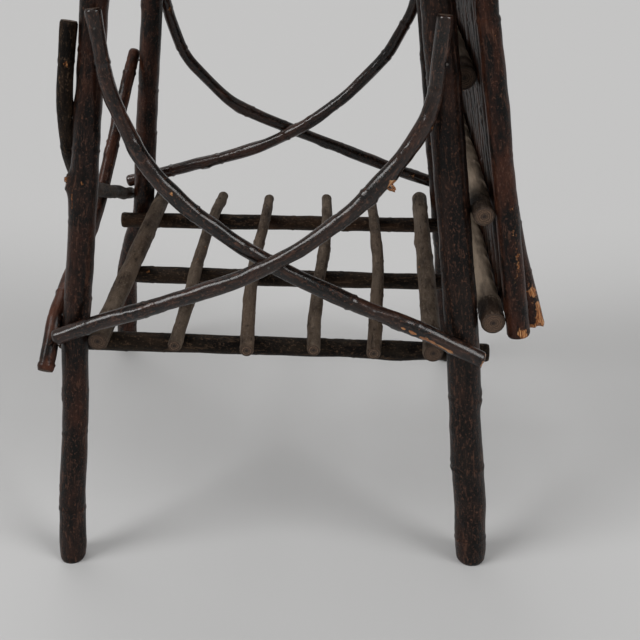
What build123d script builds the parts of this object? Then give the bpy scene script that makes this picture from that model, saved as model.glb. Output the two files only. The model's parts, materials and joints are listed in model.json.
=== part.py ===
from build123d import *
import math
import os

# Rustic hickory table: bark-on sticks nailed together, with a slatted shelf between splayed legs
# and one drop leaf that hangs against the right legs. Millimetres, +Z up, -Y to the front,
# +X to the leaf. The origin lies on the floor under the middle of the whole table.

# ---- Overall sizes ----
TABLE_HEIGHT = 686.0        # floor to the upper side of the top
SHELF_HEIGHT = 239.0        # floor to the axis of the front shelf rail
LEG_HALF_WIDTH = 206.0      # middle plane to a leg's axis, left and right, at shelf height
LEG_HALF_DEPTH = 188.0      # the same to the front and the back
SPLAY_X = 0.136             # lean of the legs above the shelf, sideways
SPLAY_Y = 0.105             # and to the front and back
TOP_OVERHANG = 18.7         # the sawn ends of the top's sticks past the legs' axes
TOP_HALF_DEPTH = 170.0      # the top, and the leaf at its hinges: middle plane to the outer stick's axis
LEAF_HALF_DEPTH = 191.0     # the same at the free edge of the leaf, whose sticks fan out
STICK_COUNT = 15            # sticks side by side in the top, and in the leaf

# ---- Fits ----
SEAT = 0.3                  # gap left between two sticks that are nailed together
LEAF_SEAT = 0.6             # gap between the leaf's lowest batten and the legs it leans on
PIN_PLAY = 0.05             # radial play of a hinge pin in the leaf's knuckle
KNUCKLE_GAP = 0.4           # gap between neighbouring knuckles

# ---- Stick sizes ----
SHELF_RAIL_R = 10.2
TOP_RAIL_R = 11.0
TOP_BATTEN_R = 11.0
BATTEN_PAST = 6.0           # a top batten's end past the axis of the outer stick
TOP_STICK_R = 11.0
BRACE_R = 8.0
LEAF_STICK_R = 10.6
LEAF_SWAY = 0.9             # how far a leaf stick wanders sideways
LEAF_BATTEN_R = 12.2
MIDDLE_BATTEN_R = 10.4      # the leaf's second batten
SLAT_R = 7.2
SLAT_SWAY = 4.0             # how far a slat wanders sideways
EDGE_SLAT_R = 10.5
NAIL_R = 1.3
NAIL_SUNK = 1.2             # how deep a nail's head lies under the bark
SIDES = 8                   # flats round a stick
LEG_SIDES = 10

# ---- Shelf ----
SHELF_RAIL_OVERHANG = 24.0  # past the axis of the legs
SHELF_RISE = 4.0            # the shelf slopes up by this much from the front rail to the back one
SHELF_TWIST = 2.0           # the front rail is this much higher at its left leg, and lower at the right
SLAT_FRONT_END = 37.0       # slat ends past the axis of the front rail
SLAT_BACK_END = 48.0
EDGE_SLAT_GAPS = (1.2, 4.3)         # between the edge slats and the legs, left and right
# where the slats lie from the left edge slat to the right one, at their front and back ends
SLAT_SHARES = [(0.0, 0.0), (0.228, 0.232), (0.446, 0.415), (0.645, 0.638), (0.824, 0.811), (1.0, 1.0)]

# ---- Upper frame ----
TOP_RAIL_OVERHANG = 14.0    # past the axis of the legs
BRACE_TOP_GAP = 16.0        # from the underside of a top rail to where the braces end at most

# ---- Leaf ----
LEAF_LENGTH = 391.0         # hinge pin to the free edge
UPPER_BATTEN_AT = 137.0     # from the pin, the batten that hangs between the legs
NEST_GAP = 15.5             # from its ends to the legs
MIDDLE_BATTEN_AT = 256.0    # from the pin
LOWEST_BATTEN_IN = 20.0     # from the free edge
BATTEN_PAST_EDGE = 5.0      # the two lower battens' ends past the axis of the outer stick
EDGE_NAIL_AT = 72.0         # from the pin to the long nails that tie the outer sticks together
BOWED_STICK = 1             # the second stick from the front is bent away from its battens,
BOW_FROM, BOW_RISE = 0.5, 21.0      # from this share of its length, by this much at its end
BOWED_PAST = 15.0           # and its broken end lies this far past the others
SHORT_STICK_GAP = 3.0       # the sawn ends of leaf and top stay this far apart at the hinge

# ---- Hinges: steel butt hinges screwed on under the sticks ----
HINGE_WIDTH = 44.0          # along the pin
PLATE_T = 2.0
BARREL_R = 4.0
PIN_R = 2.2
TABLE_PLATE = 29.0          # from the pin, under the top
LEAF_PLATE = 46.0           # from the pin, under the leaf
PLATE_CORNER = 4.0          # chamfer of a plate's outer corners
PIN_HEAD_R = 3.6
PIN_HEAD_T = 1.6
SCREW_R = 1.6
SCREW_HEAD_R = 3.2
SCREW_HEAD_T = 1.4
SCREW_LENGTH = 11.0


def half_width(z):
    """From the middle plane to the legs' axes at height z, above the shelf."""
    return LEG_HALF_WIDTH - SPLAY_X * (z - SHELF_HEIGHT)


def half_depth(z):
    """The same to the front and the back."""
    return LEG_HALF_DEPTH - SPLAY_Y * (z - SHELF_HEIGHT)


# ---- Values that follow ----
STICK_UNDERSIDE = TABLE_HEIGHT - 2 * TOP_STICK_R
BATTEN_Z = STICK_UNDERSIDE - SEAT - TOP_BATTEN_R
TOP_RAIL_Z = BATTEN_Z - TOP_BATTEN_R - SEAT - TOP_RAIL_R
BRACE_TOP = TOP_RAIL_Z - TOP_RAIL_R - BRACE_TOP_GAP
TOP_HALF_WIDTH = half_width(STICK_UNDERSIDE) + TOP_OVERHANG
PIN_X = TOP_HALF_WIDTH + SHORT_STICK_GAP / 2
PIN_Z = STICK_UNDERSIDE - SEAT - BARREL_R
STICK_PITCH = 2 * TOP_HALF_DEPTH / (STICK_COUNT - 1)
HINGE_HALF_SPAN = 3.5 * STICK_PITCH     # a hinge sits under two sticks, with a screw in each

FRONT, BACK = Vector(0, -1, 0), Vector(0, 1, 0)
LEFT, RIGHT = Vector(-1, 0, 0), Vector(1, 0, 0)
UP = Vector(0, 0, 1)

parts = {}


# ---------------------------------------------------------------- sticks

def skin(stations, facing, cut=None, sides=SIDES):
    """A stick: a ruled loft through flat-sided sections. stations is a list of (centre, radius).

    One flat of each section looks along facing. The sections are square to the stick, or all
    square to cut where that is given.
    """
    sections = []
    for i, (centre, radius) in enumerate(stations):
        before = stations[max(i - 1, 0)][0]
        after = stations[min(i + 1, len(stations) - 1)][0]
        normal = (cut or (after - before)).normalized()
        outward = (facing - normal * facing.dot(normal)).normalized()
        plane = Plane(origin=centre, x_dir=outward, z_dir=normal)
        ring = RegularPolygon(radius, sides, major_radius=False, rotation=180 / sides)
        sections.append(plane * ring)
    return loft(sections, ruled=True)


def swell(t, knots):
    """How much thicker a stick is at the share t of its length, with bumps at its knots."""
    return sum(rise * max(0.0, 1 - abs(t - at) / 0.05) for at, rise in knots)


def shares(count, knots):
    """Where a stick gets its sections: evenly, and round each knot."""
    near = [at + d for at, _ in knots for d in (-0.05, 0, 0.05)]
    even = [i / (count - 1) for i in range(count)]
    even = [t for t in even if all(abs(t - at) > 0.075 for at, _ in knots) or t in (0.0, 1.0)]
    return sorted(even + near)


def bent_stick(line, radii, facing, knots=(), count=9):
    """A bent stick along a smooth line, tapering from radii[0] to radii[1]."""
    stations = []
    for t in shares(count, knots):
        stations.append((line @ t, radii[0] + (radii[1] - radii[0]) * t + swell(t, knots)))
    return skin(stations, facing)


def wander(t, sway, phase):
    """How far a lying stick strays sideways at the share t of its length. Its ends stay put."""
    ends = (1 - t) * math.sin(phase) + t * math.sin(5.1 + phase)
    return sway * (math.sin(5.1 * t + phase) - ends)


def lying_stick(start, end, radii, up, sway=0.0, phase=0.0, knots=(), count=5, bow=(0.0, 0.0)):
    """A nearly straight stick whose underside runs straight from start to end.

    up points from that underside to the axis. bow is (share, rise): from that share of its length
    the stick rises off its seat, by rise at its end.
    """
    run = (end - start).normalized()
    side = run.cross(up).normalized()
    bow_from, bow_rise = bow
    stations = []
    for t in shares(count, knots):
        radius = radii[0] + (radii[1] - radii[0]) * t + swell(t, knots)
        height = radius + bow_rise * max(0.0, (t - bow_from) / (1 - bow_from)) ** 1.6
        centre = start + (end - start) * t + side * wander(t, sway, phase) + up * height
        stations.append((centre, radius))
    return skin(stations, up, cut=run)


def group(shapes):
    """Separate solids that make up one node."""
    return Compound([solid for shape in shapes for solid in shape.solids()])


def nail(point, direction, length):
    """A headless wire nail driven from point along direction."""
    section = Plane(origin=point, z_dir=direction) * RegularPolygon(NAIL_R, 6)
    return extrude(section, amount=length)


# ---------------------------------------------------------------- legs

class Leg:
    """One leg: its corner, its radius at the foot, the shelf and the top, and how its foot spreads.

    The foot's spread is the leg's lean below the shelf; crook above 1 puts more of it near the shelf.
    inset moves the whole leg towards the middle plane.
    """

    def __init__(self, x_side, y_side, radii, foot_spread, knots, sway, crook=1.0, inset=0.0):
        self.x_side, self.y_side = x_side, y_side
        self.foot_r, self.shelf_r, self.top_r = radii
        self.foot_x, self.foot_y = foot_spread
        self.knots, self.sway = knots, sway
        self.crook, self.inset = crook, inset

    def radius(self, z):
        if z < SHELF_HEIGHT:
            return self.shelf_r + (self.foot_r - self.shelf_r) * (SHELF_HEIGHT - z) / SHELF_HEIGHT
        share = (z - SHELF_HEIGHT) / (STICK_UNDERSIDE - SHELF_HEIGHT)
        return self.shelf_r + (self.top_r - self.shelf_r) * share

    def axis(self, z):
        below = max(0.0, 1 - z / SHELF_HEIGHT)
        if below > 0:
            spread = SHELF_HEIGHT * (1 - (1 - below) ** self.crook)
            x, y = LEG_HALF_WIDTH + self.foot_x * spread, LEG_HALF_DEPTH + self.foot_y * spread
        else:
            x, y = half_width(z), half_depth(z)
        wander = self.sway * math.sin(math.tau * below)
        return Vector(self.x_side * (x - self.inset) - wander, self.y_side * y, z)

    def inner_x(self, z):
        """From the middle plane to the leg's inner side."""
        return abs(self.axis(z).X) - self.radius(z)

    def solid(self):
        top = STICK_UNDERSIDE - SEAT
        heights = [0, 0.012, 0.11, 0.21, 0.30, SHELF_HEIGHT / top, 0.43, 0.53, 0.65, 0.77, 0.89, 1]
        heights = [h for h in heights if all(abs(h - at) > 0.04 for at, _ in self.knots)]
        heights = sorted(heights + [at + d for at, _ in self.knots for d in (-0.02, 0, 0.02)])
        stations = []
        for h in heights:
            bump = sum(rise for at, rise in self.knots if abs(h - at) < 0.001)
            eased = self.radius(0) * 0.1 if h == 0 else 0.0
            stations.append((self.axis(h * top), self.radius(h * top) + bump - eased))
        return skin(stations, RIGHT, cut=UP, sides=LEG_SIDES)


LEGS = {
    "leg_front_left": Leg(-1, -1, (14.6, 13.8, 12.6), (0.072, 0.185), [(0.63, 2.4)], -1.5, inset=-1.6),
    "leg_front_right": Leg(1, -1, (17.2, 16.9, 15.2), (0.096, 0.112), [(0.325, 1.6)], 2.0, inset=4.2),
    "leg_back_left": Leg(-1, 1, (14.6, 13.6, 12.6), (0.215, 0.190), [(0.47, 1.2)], 3.0, crook=2.2),
    "leg_back_right": Leg(1, 1, (14.4, 13.2, 12.4), (0.120, 0.150), [(0.56, 1.4)], -2.0),
}
for name, leg in LEGS.items():
    parts[name] = leg.solid()


# ---------------------------------------------------------------- shelf

FRONT_LEG_R = max(LEGS["leg_front_left"].shelf_r, LEGS["leg_front_right"].shelf_r)
BACK_LEG_R = max(LEGS["leg_back_left"].shelf_r, LEGS["leg_back_right"].shelf_r)
RAIL_INSET = SHELF_RAIL_R * (1 + SPLAY_Y) + SEAT      # a rail's axis in from the legs' inner side
RAIL_FRONT_Y = -(LEG_HALF_DEPTH - FRONT_LEG_R - RAIL_INSET)
RAIL_BACK_Y = LEG_HALF_DEPTH - BACK_LEG_R - RAIL_INSET - SPLAY_Y * SHELF_RISE


def shelf_top(x, y):
    """Height of the upper side of the shelf rails, on which the slats lie."""
    share = (y - RAIL_FRONT_Y) / (RAIL_BACK_Y - RAIL_FRONT_Y)
    twist = SHELF_TWIST * (1 - share) * x / LEG_HALF_WIDTH
    return SHELF_HEIGHT + SHELF_RAIL_R + SHELF_RISE * share - twist


# each rail's place, and how much of the overhang its left and right ends have
RAILS = {
    "shelf_rail_front": (RAIL_FRONT_Y, (1.0, 1.0), 0.4, [(0.78, 1.2)]),
    "shelf_rail_middle": (0.0, (-0.3, 0.35), 2.1, []),
    "shelf_rail_back": (RAIL_BACK_Y, (0.95, 0.85), 4.0, [(0.3, 1.0)]),
}
for name, (y, reach, phase, knots) in RAILS.items():
    left_x, right_x = (x_side * (LEG_HALF_WIDTH + SHELF_RAIL_OVERHANG * part)
                       for x_side, part in zip((-1, 1), reach))
    radii = (SHELF_RAIL_R, SHELF_RAIL_R * 0.94)
    # the upper side is the straight one, because the slats lie on it
    start, stop = (Vector(x, y, shelf_top(x, y)) for x in (left_x, right_x))
    parts[name] = lying_stick(start, stop, radii, -UP, sway=0.6, phase=phase, knots=knots)


def edge_slat_x(leg, gap):
    """Where an edge slat's axis lies beside a leg."""
    slat_z = SHELF_HEIGHT + SHELF_RAIL_R + EDGE_SLAT_R
    return leg.x_side * (leg.inner_x(slat_z) - EDGE_SLAT_R - gap)


def across_shelf(share, y_name):
    """The place of a slat's end, from the left edge slat to the right one."""
    left, right = (edge_slat_x(LEGS[f"leg_{y_name}_{x_name}"], gap)
                   for x_name, gap in zip(("left", "right"), EDGE_SLAT_GAPS))
    return left + (right - left) * share


slat_start = RAIL_FRONT_Y - SLAT_FRONT_END
slat_stop = RAIL_BACK_Y + SLAT_BACK_END
shelf_nails = []
for i, (front_share, back_share) in enumerate(SLAT_SHARES):
    front_x, back_x = across_shelf(front_share, "front"), across_shelf(back_share, "back")
    edge = i in (0, len(SLAT_SHARES) - 1)
    radius, sway, phase = (EDGE_SLAT_R, 0.0, 0.0) if edge else (SLAT_R, SLAT_SWAY, 1.3 * i)
    radii = (radius, radius * 0.93)
    front_y = slat_start + 3 * math.sin(2.4 * i)
    back_y = slat_stop + 5 * math.sin(1.7 * i + 1)
    start = Vector(front_x, front_y, shelf_top(front_x, front_y) + SEAT)
    stop = Vector(back_x, back_y, shelf_top(back_x, back_y) + SEAT)
    parts[f"shelf_slat_{i + 1}"] = lying_stick(
        start, stop, radii, UP, sway=sway, phase=phase, knots=[(0.35 + 0.07 * i, 0.9)], count=7
    )
    for y, *_ in RAILS.values():
        share = (y - front_y) / (back_y - front_y)
        thick = 2 * (radii[0] + (radii[1] - radii[0]) * share)
        x = front_x + (back_x - front_x) * share + wander(share, sway, phase)
        head = Vector(x, y, shelf_top(x, y) + SEAT + thick - NAIL_SUNK)
        shelf_nails.append(nail(head, -UP, thick + SHELF_RAIL_R))
parts["shelf_nails"] = group(shelf_nails)


# ---------------------------------------------------------------- crossed braces

class Side:
    """One side of the frame that a pair of braces crosses, with its legs at shares -1 and +1."""

    def __init__(self, across, outward, half_across, leg_names):
        self.across, self.outward = across, outward
        self.half_across = half_across
        self.legs = [LEGS[n] for n in leg_names]

    def point(self, share, height, bow, radius):
        """A brace's axis: share across, height from shelf to brace top, bow off its seat."""
        z = SHELF_HEIGHT + height * (BRACE_TOP - SHELF_HEIGHT)
        weight = min(max((share + 1) / 2, 0.0), 1.0)
        first, second = (leg.axis(z).dot(self.outward) + leg.radius(z) for leg in self.legs)
        out = first * (1 - weight) + second * weight + SEAT + radius + bow
        return self.across * (share * self.half_across(z)) + self.outward * out + UP * z


def course_line(side, course, radii):
    """The axis of a brace through its course, a list of (share across, share up, bow)."""
    points = []
    for i, (share, height, bow) in enumerate(course):
        radius = radii[0] + (radii[1] - radii[0]) * i / (len(course) - 1)
        points.append(side.point(share, height, bow, radius))
    return Spline(*points)


def nail_through(outer, inner, outer_r, depth):
    """A nail from the far side of the stick whose axis is at outer towards the one at inner."""
    direction = (inner - outer).normalized()
    head = outer - direction * (outer_r - NAIL_SUNK)
    return nail(head, direction, outer_r - NAIL_SUNK + outer_r + depth)


front_side = Side(RIGHT, FRONT, half_width, ("leg_front_left", "leg_front_right"))
back_side = Side(RIGHT, BACK, half_width, ("leg_back_left", "leg_back_right"))
left_side = Side(BACK, LEFT, half_depth, ("leg_front_left", "leg_back_left"))
APART = BRACE_R + 1.4       # each brace of a pair bows this far off the middle of their crossing

BRACES = {
    "front_brace_rising": (front_side, (8.2, 7.6), [(0.8, 1.3)], [
        (-1.09, 0.090, 0.2), (-0.90, 0.131, 0.4), (-0.64, 0.186, 4.0), (-0.02, 0.318, APART),
        (0.27, 0.407, 7.0), (0.60, 0.552, 3.0), (0.895, 0.742, 0.6), (1.00, 0.97, 0.2)]),
    "front_brace_falling": (front_side, (8.4, 7.4), [(0.3, 1.0), (0.66, 1.2)], [
        (1.07, 0.052, 0.2), (0.87, 0.114, 0.6), (0.47, 0.201, -3.0), (-0.02, 0.316, -APART),
        (-0.345, 0.431, -6.0), (-0.655, 0.578, -2.0), (-0.885, 0.78, 0.4), (-0.99, 0.97, 0.2)]),
    "back_brace_rising": (back_side, (7.8, 7.0), [(0.33, 1.4)], [
        (-1.13, 0.118, 0.2), (-0.90, 0.153, 0.6), (-0.61, 0.206, -2.0), (0.02, 0.338, -APART),
        (0.25, 0.42, -7.0), (0.58, 0.56, -3.0), (0.88, 0.75, 0.6), (1.00, 0.97, 0.2)]),
    "back_brace_falling": (back_side, (7.8, 6.8), [(0.55, 1.2)], [
        (1.09, 0.115, 0.2), (0.90, 0.148, 0.6), (0.66, 0.197, 3.0), (0.02, 0.328, APART),
        (-0.36, 0.417, 6.0), (-0.70, 0.555, 2.5), (-0.90, 0.75, 0.6), (-1.00, 0.97, 0.2)]),
    "left_brace_rising": (left_side, (8.2, 7.2), [(0.6, 1.0)], [
        (-1.17, 0.0, 0.2), (-0.95, 0.132, 0.4), (-0.50, 0.165, 2.5), (-0.10, 0.175, 5.0),
        (0.32, 0.235, APART), (0.55, 0.38, 6.0), (0.83, 0.55, 1.0), (1.06, 0.63, 0.4)]),
    "left_brace_falling": (left_side, (7.8, 8.0), [(0.62, 1.1)], [
        (1.10, 0.072, 0.2), (0.90, 0.112, 0.6), (0.60, 0.178, -4.0), (0.32, 0.240, -APART),
        (-0.05, 0.31, -7.0), (-0.40, 0.395, -5.0), (-0.76, 0.51, -1.0), (-0.98, 0.66, 0.6),
        (-1.02, 0.93, 0.4)]),
}
brace_nails = []
walks = {}
for name, (side, radii, knots, course) in BRACES.items():
    line = course_line(side, course, radii)
    parts[name] = bent_stick(line, radii, side.outward, knots=knots)
    walks[name] = [line @ (0.03 + 0.94 * i / 60) for i in range(61)]
    for leg in side.legs:
        over = min(walks[name], key=lambda p: (p - leg.axis(p.Z)).length)
        brace_nails.append(nail_through(over, leg.axis(over.Z), BRACE_R, 9.0))
for where in ("front", "back", "left"):
    rising, falling = walks[f"{where}_brace_rising"], walks[f"{where}_brace_falling"]
    pairs = [(p, q) for p in rising for q in falling]
    over, under = min(pairs, key=lambda pair: (pair[0] - pair[1]).length)
    brace_nails.append(nail_through(over, under, BRACE_R, BRACE_R))
parts["brace_nails"] = group(brace_nails)


# ---------------------------------------------------------------- fixed top

def rail_y(y_side):
    """Axis of a top rail, which lies against the inner side of two legs."""
    radius = max(leg.radius(TOP_RAIL_Z) for leg in LEGS.values() if leg.y_side == y_side)
    slack = SPLAY_Y * TOP_RAIL_R
    return y_side * (half_depth(TOP_RAIL_Z) - radius - TOP_RAIL_R - SEAT - slack)


for name, y_side, phase in (("top_rail_front", -1, 0.5), ("top_rail_back", 1, 2.5)):
    end = half_width(TOP_RAIL_Z) + TOP_RAIL_OVERHANG
    z = BATTEN_Z - TOP_BATTEN_R - SEAT
    start, stop = Vector(-end, rail_y(y_side), z), Vector(end, rail_y(y_side), z)
    parts[name] = lying_stick(start, stop, (TOP_RAIL_R, TOP_RAIL_R * 0.95), -UP, 0.5, phase)

inner_x = min(leg.inner_x(BATTEN_Z) for leg in LEGS.values())
batten_x = inner_x - TOP_BATTEN_R - SEAT - 2.5
BATTENS = {"top_batten_left": -batten_x, "top_batten_middle": 0.0, "top_batten_right": batten_x}
for name, x in BATTENS.items():
    z = STICK_UNDERSIDE - SEAT
    end = TOP_HALF_DEPTH + BATTEN_PAST
    start, stop = Vector(x, -end, z), Vector(x, end, z)
    parts[name] = lying_stick(start, stop, (TOP_BATTEN_R, TOP_BATTEN_R), -UP, 1.0, x)

top_sticks, top_nails = [], []
for i in range(STICK_COUNT):
    y = -TOP_HALF_DEPTH + STICK_PITCH * i
    radii = (TOP_STICK_R, TOP_STICK_R * 0.96) if i % 2 else (TOP_STICK_R * 0.96, TOP_STICK_R)
    left_end = TOP_HALF_WIDTH + 4 * math.sin(2.3 * i)
    start, stop = Vector(-left_end, y, STICK_UNDERSIDE), Vector(TOP_HALF_WIDTH, y, STICK_UNDERSIDE)
    top_sticks.append(lying_stick(start, stop, radii, UP, sway=1.0, phase=1.9 * i))
    for x in BATTENS.values():
        head = Vector(x, y, TABLE_HEIGHT - 2 * NAIL_SUNK)
        top_nails.append(nail(head, -UP, 2 * TOP_STICK_R + 0.8 * TOP_BATTEN_R))
parts["top_sticks"] = group(top_sticks)
parts["top_nails"] = group(top_nails)

# rails are nailed through the legs, and the battens to the rails from below
frame_nails = []
for leg in LEGS.values():
    for z, rail_r in ((SHELF_HEIGHT, SHELF_RAIL_R), (TOP_RAIL_Z, TOP_RAIL_R)):
        inward = Vector(0, -leg.y_side, 0)
        axis = leg.axis(z)
        frame_nails.append(nail_through(axis, axis + inward, leg.radius(z), rail_r))
for x in BATTENS.values():
    for y_side in (-1, 1):
        rail_axis = Vector(x, rail_y(y_side), TOP_RAIL_Z)
        frame_nails.append(nail_through(rail_axis, rail_axis + UP, TOP_RAIL_R, TOP_BATTEN_R * 0.7))
parts["frame_nails"] = group(frame_nails)


# ---------------------------------------------------------------- hinges

HINGES = {"front": -HINGE_HALF_SPAN, "back": HINGE_HALF_SPAN}
KNUCKLE = (HINGE_WIDTH - 2 * KNUCKLE_GAP) / 3


def knuckle(y, bore_r):
    """One knuckle of a barrel, centred on the pin at y."""
    ring = Circle(BARREL_R) - Circle(bore_r)
    section = Plane(origin=(0, y, 0), x_dir=(1, 0, 0), z_dir=(0, 1, 0)) * ring
    return extrude(section, amount=KNUCKLE / 2, both=True)


def screw_places(reach):
    """The two screws of a plate, by their distance from the pin and from its middle."""
    return [(reach * 0.62, -STICK_PITCH / 2), (reach * 0.62, STICK_PITCH / 2)]


def plate(y, direction, reach, knuckles, bore_r):
    """A hinge plate from the pin towards direction, with its knuckles and screw holes."""
    sheet = Pos(direction * reach / 2, y, BARREL_R - PLATE_T / 2) * Box(reach, HINGE_WIDTH, PLATE_T)
    corners = sheet.edges().filter_by(Axis.Z).sort_by(Axis.X)
    sheet = chamfer(corners[-2:] if direction > 0 else corners[:2], PLATE_CORNER)
    for at, dy in screw_places(reach):
        sheet -= Pos(direction * at, y + dy, BARREL_R) * Cylinder(SCREW_R + 0.1, 4 * PLATE_T)
    clear = BARREL_R + KNUCKLE_GAP
    for k in (-1, 0, 1):
        at = y + k * (KNUCKLE + KNUCKLE_GAP)
        if k in knuckles:
            sheet += knuckle(at, bore_r)
            sheet -= Pos(0, at, 0) * Rot(90, 0, 0) * Cylinder(bore_r, KNUCKLE + 0.1)
        else:
            sheet -= Pos(0, at, 0) * Box(2 * clear, KNUCKLE + 2 * KNUCKLE_GAP, 2 * clear)
    return sheet


def screw(x, y, seat_z):
    """A screw from below: its head under the plate and its shank up into the stick."""
    shank = extrude(Pos(x, y, seat_z) * RegularPolygon(SCREW_R, 6), amount=SCREW_LENGTH)
    head = extrude(Pos(x, y, seat_z) * RegularPolygon(SCREW_HEAD_R, 12), amount=-SCREW_HEAD_T)
    return shank + head


at_pin = Pos(PIN_X, 0, PIN_Z)
table_screws, leaf_screws = [], []
leaf = {}
for where, y in HINGES.items():
    parts[f"hinge_plate_table_{where}"] = at_pin * plate(y, -1, TABLE_PLATE, (-1, 1), PIN_R)
    leaf[f"hinge_plate_leaf_{where}"] = plate(y, 1, LEAF_PLATE, (0,), PIN_R + PIN_PLAY)
    pin = Pos(0, y, 0) * Rot(90, 0, 0) * Cylinder(PIN_R, HINGE_WIDTH)
    for end in (-1, 1):
        rim = Plane(origin=(0, y + end * HINGE_WIDTH / 2, 0), z_dir=(0, end, 0))
        pin += extrude(rim * RegularPolygon(PIN_HEAD_R, 12), amount=PIN_HEAD_T)
    parts[f"hinge_pin_{where}"] = at_pin * pin
    seat = BARREL_R - PLATE_T - 0.05
    for at, dy in screw_places(TABLE_PLATE):
        table_screws.append(at_pin * screw(-at, y + dy, seat))
    for at, dy in screw_places(LEAF_PLATE):
        leaf_screws.append(screw(at, y + dy, seat))
parts["hinge_screws_table"] = group(table_screws)
leaf["hinge_screws_leaf"] = group(leaf_screws)


# ---------------------------------------------------------------- drop leaf

def nested_half(at):
    """Half the length of a leaf batten that hangs between the right legs."""
    z = PIN_Z - at
    leg_r = max(leg.radius(z) for leg in LEGS.values() if leg.x_side > 0)
    return half_depth(z) - leg_r - NEST_GAP


# The leaf is made level, with the pin along Y through zero, and is then swung down to where its
# lowest batten leans on the legs.
LEAF_UNDERSIDE = BARREL_R + SEAT
LOWEST_BATTEN_AT = LEAF_LENGTH - LOWEST_BATTEN_IN


def leaf_edge(at):
    """From the middle plane to the axis of the leaf's outer sticks, at this distance from the pin."""
    return TOP_HALF_DEPTH + (LEAF_HALF_DEPTH - TOP_HALF_DEPTH) * at / LEAF_LENGTH


# each batten: from the pin, half length, radius
LEAF_BATTENS = [
    (UPPER_BATTEN_AT, nested_half(UPPER_BATTEN_AT), LEAF_BATTEN_R),
    (MIDDLE_BATTEN_AT, leaf_edge(MIDDLE_BATTEN_AT) + BATTEN_PAST_EDGE, MIDDLE_BATTEN_R),
    (LOWEST_BATTEN_AT, leaf_edge(LOWEST_BATTEN_AT) + BATTEN_PAST_EDGE, LEAF_BATTEN_R),
]
leaf_nails = []
for i in range(STICK_COUNT):
    across = 2 * i / (STICK_COUNT - 1) - 1
    bowed = i == BOWED_STICK
    length = LEAF_LENGTH - 4 + 5 * math.sin(2.9 * i + 0.7) + (BOWED_PAST if bowed else 0.0)
    start = Vector(SHORT_STICK_GAP / 2, across * TOP_HALF_DEPTH, LEAF_UNDERSIDE)
    stop = Vector(length, across * LEAF_HALF_DEPTH, LEAF_UNDERSIDE)
    radii = (LEAF_STICK_R * 0.97, LEAF_STICK_R * (1.04 if i % 3 else 1.12))
    phase = 2.7 * i
    knots = [(0.42, 1.0)] if i % 4 == 0 else []
    bow = (BOW_FROM, BOW_RISE if bowed else 0.0)
    leaf[f"leaf_stick_{i + 1:02d}"] = lying_stick(
        start, stop, radii, UP, sway=LEAF_SWAY, phase=phase, knots=knots, bow=bow
    )
    for at, half, batten_r in LEAF_BATTENS:
        share = (at - start.X) / (stop.X - start.X)
        y = start.Y + (stop.Y - start.Y) * share - wander(share, LEAF_SWAY, phase)
        lifted = bowed and share > BOW_FROM
        if abs(y) < half - 2 * NAIL_R and not lifted:
            thick = 2 * (radii[0] + (radii[1] - radii[0]) * share)
            head = Vector(at, y, LEAF_UNDERSIDE + thick - NAIL_SUNK)
            leaf_nails.append(nail(head, -UP, thick + 0.8 * batten_r))
for y_side in (-1, 1):
    edge = leaf_edge(EDGE_NAIL_AT) + LEAF_STICK_R - NAIL_SUNK
    head = Vector(EDGE_NAIL_AT, y_side * edge, LEAF_UNDERSIDE + LEAF_STICK_R)
    leaf_nails.append(nail(head, Vector(0, -y_side, 0), LEAF_STICK_R + 2.3 * STICK_PITCH))
for i, (at, half, batten_r) in enumerate(LEAF_BATTENS):
    z = LEAF_UNDERSIDE - SEAT
    start, stop = Vector(at, -half, z), Vector(at, half - 1, z)
    leaf[f"leaf_batten_{i + 1}"] = lying_stick(
        start, stop, (batten_r, batten_r * 0.95), -UP, sway=0.8, phase=2.0 * i
    )
leaf["leaf_nails"] = group(leaf_nails)



def lean_on(leg, at, batten_r):
    """The leaf's lean at which a batten this far from the pin touches a leg."""
    inward = LEAF_UNDERSIDE - SEAT - batten_r
    leg_lean = math.atan(SPLAY_X)
    axis_gap = (PIN_X - leg.axis(PIN_Z).X) * math.cos(leg_lean)
    needed = leg.radius(PIN_Z - at) + batten_r + LEAF_SEAT
    return leg_lean + math.asin((needed - axis_gap) / math.hypot(at, inward)) - math.atan2(inward, at)


right_legs = [leg for leg in LEGS.values() if leg.x_side > 0]
LEAN = max(lean_on(leg, at, batten_r) for leg in right_legs for at, _, batten_r in LEAF_BATTENS[1:])
swing = Pos(PIN_X, 0, PIN_Z) * Rot(0, 90 - math.degrees(LEAN), 0)
for name, shape in leaf.items():
    parts[name] = swing * shape


# ---------------------------------------------------------------- origin and files

boxes = [shape.bounding_box() for shape in parts.values()]
middle_x = (min(b.min.X for b in boxes) + max(b.max.X for b in boxes)) / 2
middle_y = (min(b.min.Y for b in boxes) + max(b.max.Y for b in boxes)) / 2
ORIGIN = Vector(middle_x, middle_y, 0)

os.makedirs("parts", exist_ok=True)
for name, shape in parts.items():
    export_step(Pos(-ORIGIN) * shape, f"parts/{name}.step")

print("hinge pin through", Vector(PIN_X, 0, PIN_Z) - ORIGIN, "lean", round(math.degrees(LEAN), 3))
for name, leg in LEGS.items():
    print(name, "foot", leg.axis(0) - ORIGIN, "radius", leg.radius(0))
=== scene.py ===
import json
import math
import zlib

import bmesh
import bpy
import numpy as np
from mathutils import Matrix, Vector

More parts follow.
